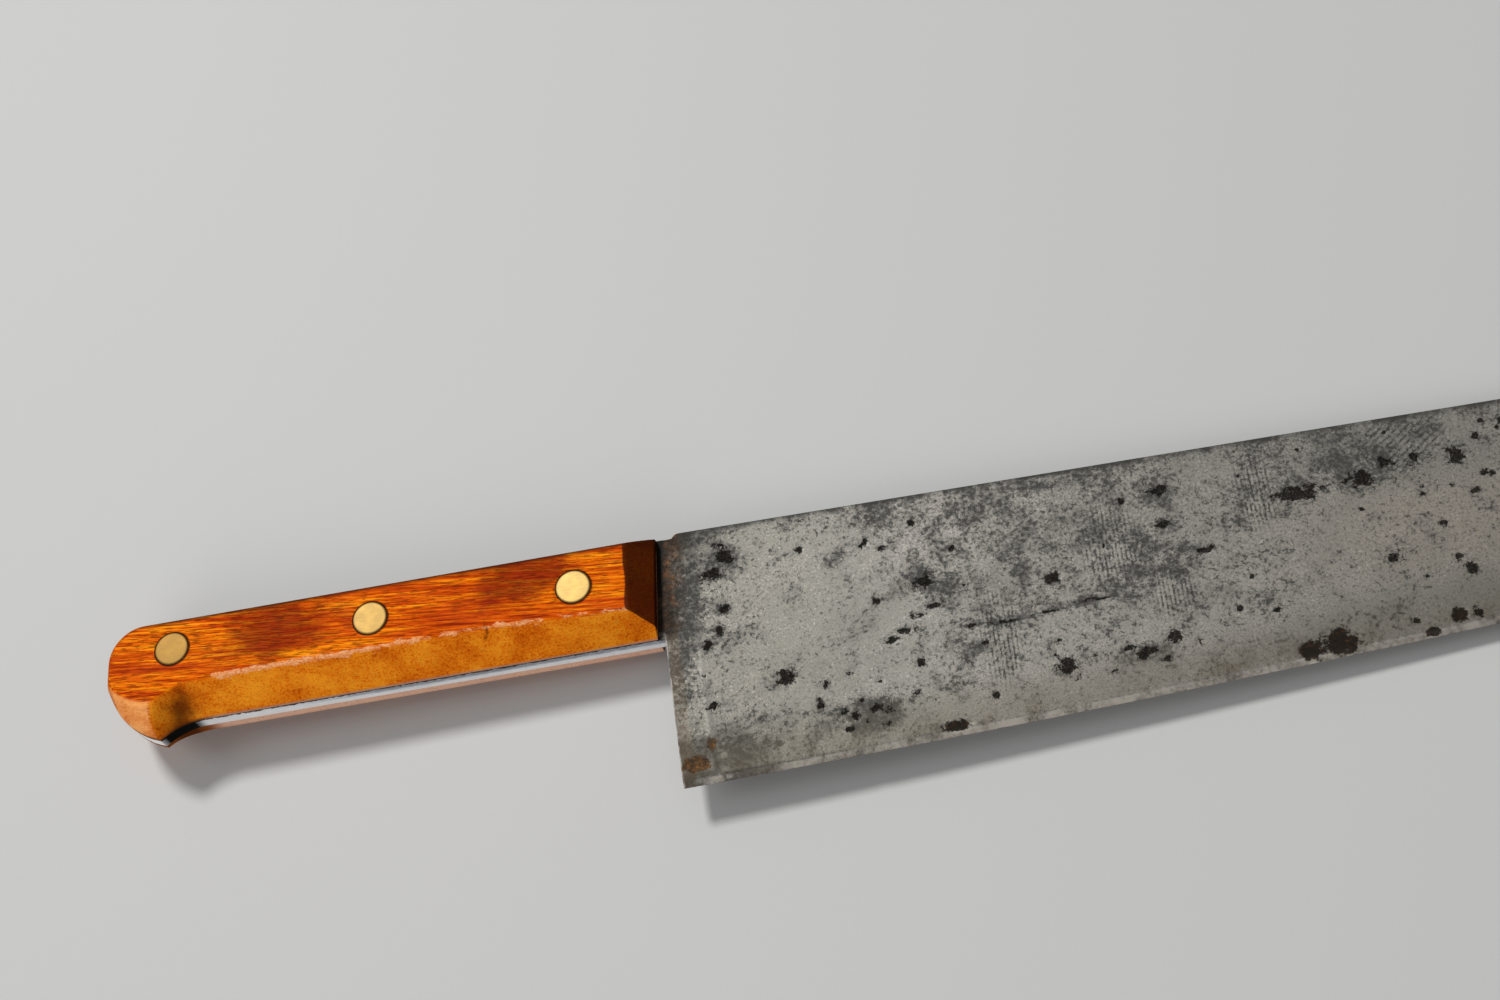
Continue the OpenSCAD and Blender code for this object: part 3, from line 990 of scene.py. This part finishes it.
def blade_plan():
    """Plan points of the whole plate and the quads between them."""
    low, top = blade_columns()
    shares, corner_row = column_shares(low, top)
    blade = low[:, None] + (top - low)[:, None] * shares[:, :, None]
    heel_shares = (shares[0, corner_row:] - shares[0, corner_row]) / (1 - shares[0, corner_row])
    tang_low, tang_top = tang_columns(90)
    tang = tang_low[:, None] + (tang_top - tang_low)[:, None] * heel_shares[None, :, None]
    straight = tang[-1].copy()
    pull = smoothstep(np.arange(len(tang)), len(tang) - 12, len(tang) - 1)
    tang = tang + (butt_side(heel_shares) - straight)[None] * pull[:, None, None]

    columns, rows = blade.shape[:2]
    tang_count, tang_rows = tang.shape[:2]
    points = np.concatenate([blade.reshape(-1, 2), tang.reshape(-1, 2)])
    blade_index = np.arange(columns * rows).reshape(columns, rows)
    tang_index = columns * rows + np.arange(tang_count * tang_rows).reshape(tang_count, tang_rows)
    tang_index = np.concatenate([blade_index[:1, corner_row:], tang_index])

    def quads(index, flip):
        corners = [index[:-1, :-1], index[1:, :-1], index[1:, 1:], index[:-1, 1:]]
        if flip:
            corners.reverse()
        return np.stack([corner.ravel() for corner in corners], axis=1)

    return points, np.concatenate([quads(blade_index, False), quads(tang_index, True)])


def plate_solid(name, plan, quads, upper, lower):
    """Closed plate between two heights over the same plan, walled along its boundary."""
    count = len(plan)
    points = np.concatenate([np.column_stack([plan, upper]), np.column_stack([plan, lower])])
    edges = np.concatenate([quads[:, [a, (a + 1) % 4]] for a in range(4)])
    keys = np.sort(edges, axis=1)
    _, first, uses = np.unique(keys, axis=0, return_index=True, return_counts=True)
    rim = edges[first[uses == 1]]
    walls = np.column_stack([rim[:, 1], rim[:, 0], rim[:, 0] + count, rim[:, 1] + count])
    faces = np.concatenate([quads, quads[:, ::-1] + count, walls])
    obj = add_object(name, points, faces.tolist())
    weld(obj)
    return obj


def blade_fields(x, y, z):
    """What the steel's paint needs to know at each point."""
    right = z > 0
    along, down = x - HEEL[0], SPINE_Y - y
    fields = {
        name: np.where(right, stain_field(x, y, on_right), stain_field(x, y, on_left))
        for name, on_right, on_left in zip(("pits", "smudges", "rust", "cloud"), stains_of(1), stains_of(-1))
    }
    bare = np.where(y < FRONT_LOW[1] + 0.8, HEEL_TOP[0], FRONT_LOW[0] - 3)
    tang = 1 - smoothstep(x, bare - 0.4, bare + 0.6)
    in_hollow = smoothstep(x, BEAK[0] - 0.5, BEAK[0] + 0.5) * (1 - smoothstep(x, HOLLOW_X - 3, HOLLOW_X))
    below_scale = 1 - smoothstep(y, HEEL_TOP[1] - 1, HEEL_TOP[1] + 2)
    fields.update(
        from_edge=edge_inset(x, y),
        from_spine=down,
        from_heel=heel_inset(x, y),
        # from_scale: distance from the scales' front ends, for grime with the painted shadow they cast
        from_scale=np.maximum(x - HEEL_TOP[0], 0) + 9 * below_scale + 1.5 * smoothstep(-y, -10, 8),
        tang=tang,
        # beak: the tang's edge in the hollow, painted nearly black as dark patina with painted shade
        beak=tang * in_hollow * smoothstep(-y, 13, 15),
        level=z / tang_half(x),
        # shine: near the butt, where the tang's edge gets its brightest painted highlight
        shine=smoothstep(-x, -55, -14),
        striae=smoothstep(stain_field(x, y, STRIAE), 0, 0.5),
        slanted=smoothstep(stain_field(x, y, SLANTED), 0, 0.5),
        rings=np.where(right, stain_field(x, y, RINGS), -1.0),
        warmth=smoothstep(along, 120, 165) * smoothstep(down, 12, 22) * (1 - smoothstep(down, 34, 46)))
    return fields


def add_blade(material):
    plan, quads = blade_plan()
    x, y = plan.T
    upper = blade_half(x, y, 1, pit_depth(x, y, 1))
    lower = -blade_half(x, y, -1, pit_depth(x, y, -1))
    blade = plate_solid("steel_plate", plan, quads, upper, lower)
    for index in range(3):
        profile = [(0, -HALF_T), (HOLE_R, -HALF_T), (HOLE_R, HALF_T), (0, HALF_T)]
        cut(blade, lathe("cutter", profile, rivet_centre(index)))
    store(blade, **blade_fields(*mesh_points(blade)))
    finish_piece(blade, material, ["blade_with_tang"], sharp=30)


# ---- steel
def grind_lines(paint, angle, spacing):
    """Parallel lines at this angle from the spine's direction, a few tenths of a millimetre wide."""
    node = paint.add("TexWave", paint.turned(paint.stretched((1, 1, 0)), 90 - angle))
    paint.tune(node, Scale=0.314 / spacing, Distortion=1.2, Detail=3.0, Detail_Scale=0.6)
    return node.outputs["Fac"]


def steel_inputs(paint):
    """The blade's stored fields, and noises from coarse to fine."""
    stored = ("pits", "smudges", "rust", "cloud", "from_edge", "from_spine", "from_heel", "from_scale",
              "tang", "striae", "slanted", "warmth", "beak", "level", "shine", "rings")
    return SimpleNamespace(
        **{name: paint.attribute(name) for name in stored},
        broad=paint.noise(22, detail=4),
        fractal=paint.noise(8, detail=9, rough=0.76, shift=2),
        speckle=paint.noise(1.0, detail=4, rough=0.75, shift=5),
        grain=paint.noise(0.5, detail=2, rough=0.7, shift=8),
        ragged=paint.noise(2.0, detail=6, rough=0.74, shift=13))


def steel_patina(paint, at):
    """Steel's colour under grey patina, dark specks and pale scuffs. Also returns the patina and specks."""
    density = paint.weighted(
        (paint.ragged(at.cloud, at.fractal, 3.0, 0.7), 0.38),
        (paint.ragged(at.smudges, at.fractal, 3.0, 0.6), 0.36),
        (paint.fit(at.pits, -0.95, 0.2), 0.24),
        (paint.fade(at.from_heel, 4.0, 10.0), 0.35),
        (paint.fade(at.from_spine, 0.0, 5.0), 0.25),
        (paint.fit(at.broad, 0.36, 0.64), 0.25),
        (paint.fit(at.from_heel, 90, 150), 0.1),
        (paint.product(paint.fade(at.from_heel, 6, 20), paint.fade(at.from_spine, 20, 36)), 0.24))
    patina = paint.fit(paint.weighted((at.fractal, 1.0), (at.speckle, 0.50), (density, 0.24)), 0.77, 1.02)
    speck = paint.fit(paint.weighted((at.speckle, 1.0), (at.fractal, 0.35), (density, 0.14)), 0.76, 0.84)
    fine = paint.fit(paint.weighted((at.grain, 1.0), (density, 0.12)), 0.56, 0.66)
    colour = paint.coats(
        paint.ramp(at.broad, (0.34, (124, 122, 115)), (0.66, (141, 137, 130))),
        ((158, 144, 128), at.warmth, 0.3),
        ((92, 89, 78), paint.fit(at.from_heel, 8, 64, 0.38, 0.0)),
        ((82, 81, 77), patina, 0.85),
        ((48, 47, 44), speck, 0.72),
        ((70, 69, 66), fine, 0.5),
        ((196, 191, 184), paint.fit(at.grain, 0.42, 0.30), paint.fit(at.fractal, 0.6, 0.4), 0.42))
    return colour, patina, speck


def steel_borders(paint, at, colour):
    """Grime and bare steel along the spine, the edge and the heel, with painted light on the heel's rim and
    on the step.
    """
    return paint.coats(
        colour,
        # Dark shoulder, then a dark line along the spine
        ((46, 45, 41), paint.fade(at.from_heel, 4, 20), paint.fade(at.from_spine, 2.5, 12),
         paint.fit(at.fractal, 0.32, 0.48, 0.3, 1.0), 0.95),
        ((54, 53, 50), paint.fade(at.from_spine, 0.3, 1.9), paint.fit(at.fractal, 0.36, 0.56, 0.3, 0.9)),
        # Bright ground edge, with a darker corner at the heel and a dull strip above it
        ((186, 178, 166), paint.fade(at.from_edge, 1.1, 1.6), paint.fit(at.fractal, 0.66, 0.42),
         paint.fit(at.from_heel, 1, 9), 0.7),
        ((56, 54, 48), paint.fade(at.from_heel, 6, 34), paint.fade(at.from_edge, 4, 17),
         paint.fit(at.fractal, 0.35, 0.51), 0.9),
        ((98, 92, 80), paint.fade(at.from_edge, 4.0, 15.0), paint.fit(at.from_edge, 1.3, 2.2), 0.5),
        ((92, 78, 58), paint.fit(at.from_edge, 1.5, 7.0, 0.28, 0.0), paint.fit(at.fractal, 0.44, 0.6)),
        # Brown heel with a bright rim of worn steel and painted highlight, and the light on the step beside
        # the thicker band
        ((92, 80, 64), paint.fade(at.from_heel, 2.4, 3.8), paint.fit(at.speckle, 0.3, 0.6), 0.7),
        ((206, 200, 190), paint.fade(at.from_heel, 0.1, 0.45), paint.fit(at.fractal, 0.62, 0.42), 0.8),
        ((196, 192, 182), paint.fit(at.from_heel, 6.2, 7.8), paint.fit(at.from_heel, 9.4, 7.9),
         paint.fit(at.from_spine, 18, 34), paint.fit(at.from_edge, 5, 12), paint.fit(at.fractal, 0.64, 0.44),
         0.34))


def steel_corrosion(paint, at, colour):
    """Stain rings, black pits and rust, with grime and painted shadow beside the scales. Also returns the
    pits and rust.
    """
    outline = paint.math("ABSOLUTE", paint.weighted((at.rings, 1.0), (at.ragged, 0.5), (1.0, -0.25)))
    pit = paint.fit(paint.weighted((at.pits, 1.0), (at.ragged, 4.4), (1.0, -2.32)), 0.0, 0.22)
    pit_tone = paint.ramp(at.grain, (0.34, (50, 45, 38)), (0.46, (22, 19, 15)), (0.6, (9, 8, 7)))
    rust = paint.fit(paint.weighted((at.rust, 1.0), (at.ragged, 2.3), (1.0, -1.18)), 0.0, 0.25)
    dark_rust = paint.ramp(at.speckle, (0.42, (15, 10, 7)), (0.58, (30, 20, 12)), (0.72, (88, 56, 28)))
    light_rust = paint.ramp(at.speckle, (0.40, (40, 30, 20)), (0.52, (90, 60, 28)), (0.64, (144, 94, 44)))
    neck_rust = paint.ramp(at.ragged, (0.38, (26, 20, 13)), (0.52, (58, 40, 23)), (0.66, (118, 74, 38)))
    colour = paint.coats(
        colour,
        ((56, 50, 42), paint.fade(outline, 0.05, 0.2), paint.fit(at.speckle, 0.42, 0.56), 0.8),
        (pit_tone, pit, 0.94),
        (paint.blend(paint.fade(at.from_heel, 9, 13), dark_rust, light_rust), rust,
         paint.fit(at.from_heel, 9, 13, 0.75, 0.94)),
        # Grime with painted shadow beside the scales' front ends
        ((40, 34, 26), paint.fit(at.from_scale, 2.0, 9.0, 0.74, 0.0)),
        (neck_rust, paint.fade(at.from_scale, 1.5, 7.5), paint.fit(at.speckle, 0.34, 0.56, 0.35, 1.0)),
        # Painted shadow with grime in the narrow gap at the neck, nearly black
        ((24, 18, 13), paint.fade(at.from_scale, 0.6, 2.2)))
    return colour, paint.math("MAXIMUM", pit, rust)


def tang_tone(paint, at):
    """Colour of the tang's bare edge: a painted highlight along the belly side, brightest low on the strip
    and near the butt, and painted shadow along the joint below the right scale.
    """
    scratches = paint.noise(0.5, (0.3, 0.5, 1.6), detail=3)
    # Painted highlight: brighter on the strip's lower half and towards the butt
    lit = paint.weighted(
        (paint.fit(at.level, 0.35, -0.45), 0.55), (at.shine, 0.5), (scratches, 0.7), (1.0, -0.26))
    bright = paint.ramp(lit, (0.06, (146, 150, 158)), (0.42, (236, 239, 244)), (0.7, (255, 255, 255)))
    dull = paint.ramp(scratches, (0.38, (112, 110, 106)), (0.6, (142, 140, 136)))
    # Painted shadow in the joint under the right scale, along a ragged line
    seam_shadow = paint.fit(paint.weighted((at.level, 1.0), (at.ragged, 1.6)), 1.50, 1.62)
    return paint.coats(dull, (bright, paint.fit(at.from_spine, 14, 26)), ((22, 20, 20), seam_shadow))


def steel_material():
    paint = Paint("carbon_steel")
    at = steel_inputs(paint)
    colour, patina, speck = steel_patina(paint, at)
    upright = paint.product(paint.fit(grind_lines(paint, 90, 0.95), 0.4, 0.8), at.striae)
    slanted = paint.product(paint.fit(grind_lines(paint, 38, 1.3), 0.45, 0.8), at.slanted)
    line = paint.product(paint.math("MAXIMUM", upright, slanted), paint.fit(at.speckle, 0.38, 0.56))
    colour = paint.coats(colour, ((56, 55, 52), line, 0.85))
    colour, marks = steel_corrosion(paint, at, steel_borders(paint, at, colour))
    # The tang's edge in the hollow is painted nearly black: dark patina with painted shade
    colour = paint.coats(colour, (tang_tone(paint, at), at.tang), ((10, 10, 10), at.beak))
    paint.set("Base Color", colour)

    rough = paint.lerp(at.tang, paint.weighted((patina, 0.14), (speck, 0.08), (1.0, 0.5)), 0.4)
    marks_and_painted_shade = paint.math("MAXIMUM", marks, at.beak)
    paint.set("Roughness", paint.lerp(marks_and_painted_shade, rough, 0.85))
    paint.set("Specular IOR Level", paint.lerp(marks_and_painted_shade, 0.3, 0.06))
    paint.set("Metallic", paint.weighted((patina, -0.2), (marks, -0.4), (at.tang, -0.35), (1.0, 0.55)))
    height = paint.weighted((at.fractal, 0.4), (at.speckle, 0.5), (marks, -0.9), (line, -0.4))
    paint.set("Normal", paint.bump(at.grain, 0.010, paint.bump(height, 0.05)))
    return paint.material


# ---- the knife
add_camera()
add_lights()
add_floor()

add_blade(steel_material())
wood = wood_material()
add_scale("right_scale_wood", "right_scale", wood, 1)
add_scale("left_scale_wood", "left_scale", wood, -1)
brass = brass_material()
for number, position in enumerate(("rear", "middle", "front")):
    add_socket(position + "_socket_brass", position + "_rivet_socket", brass, number)
    add_stud(position + "_stud_brass", position + "_rivet_stud", brass, number)
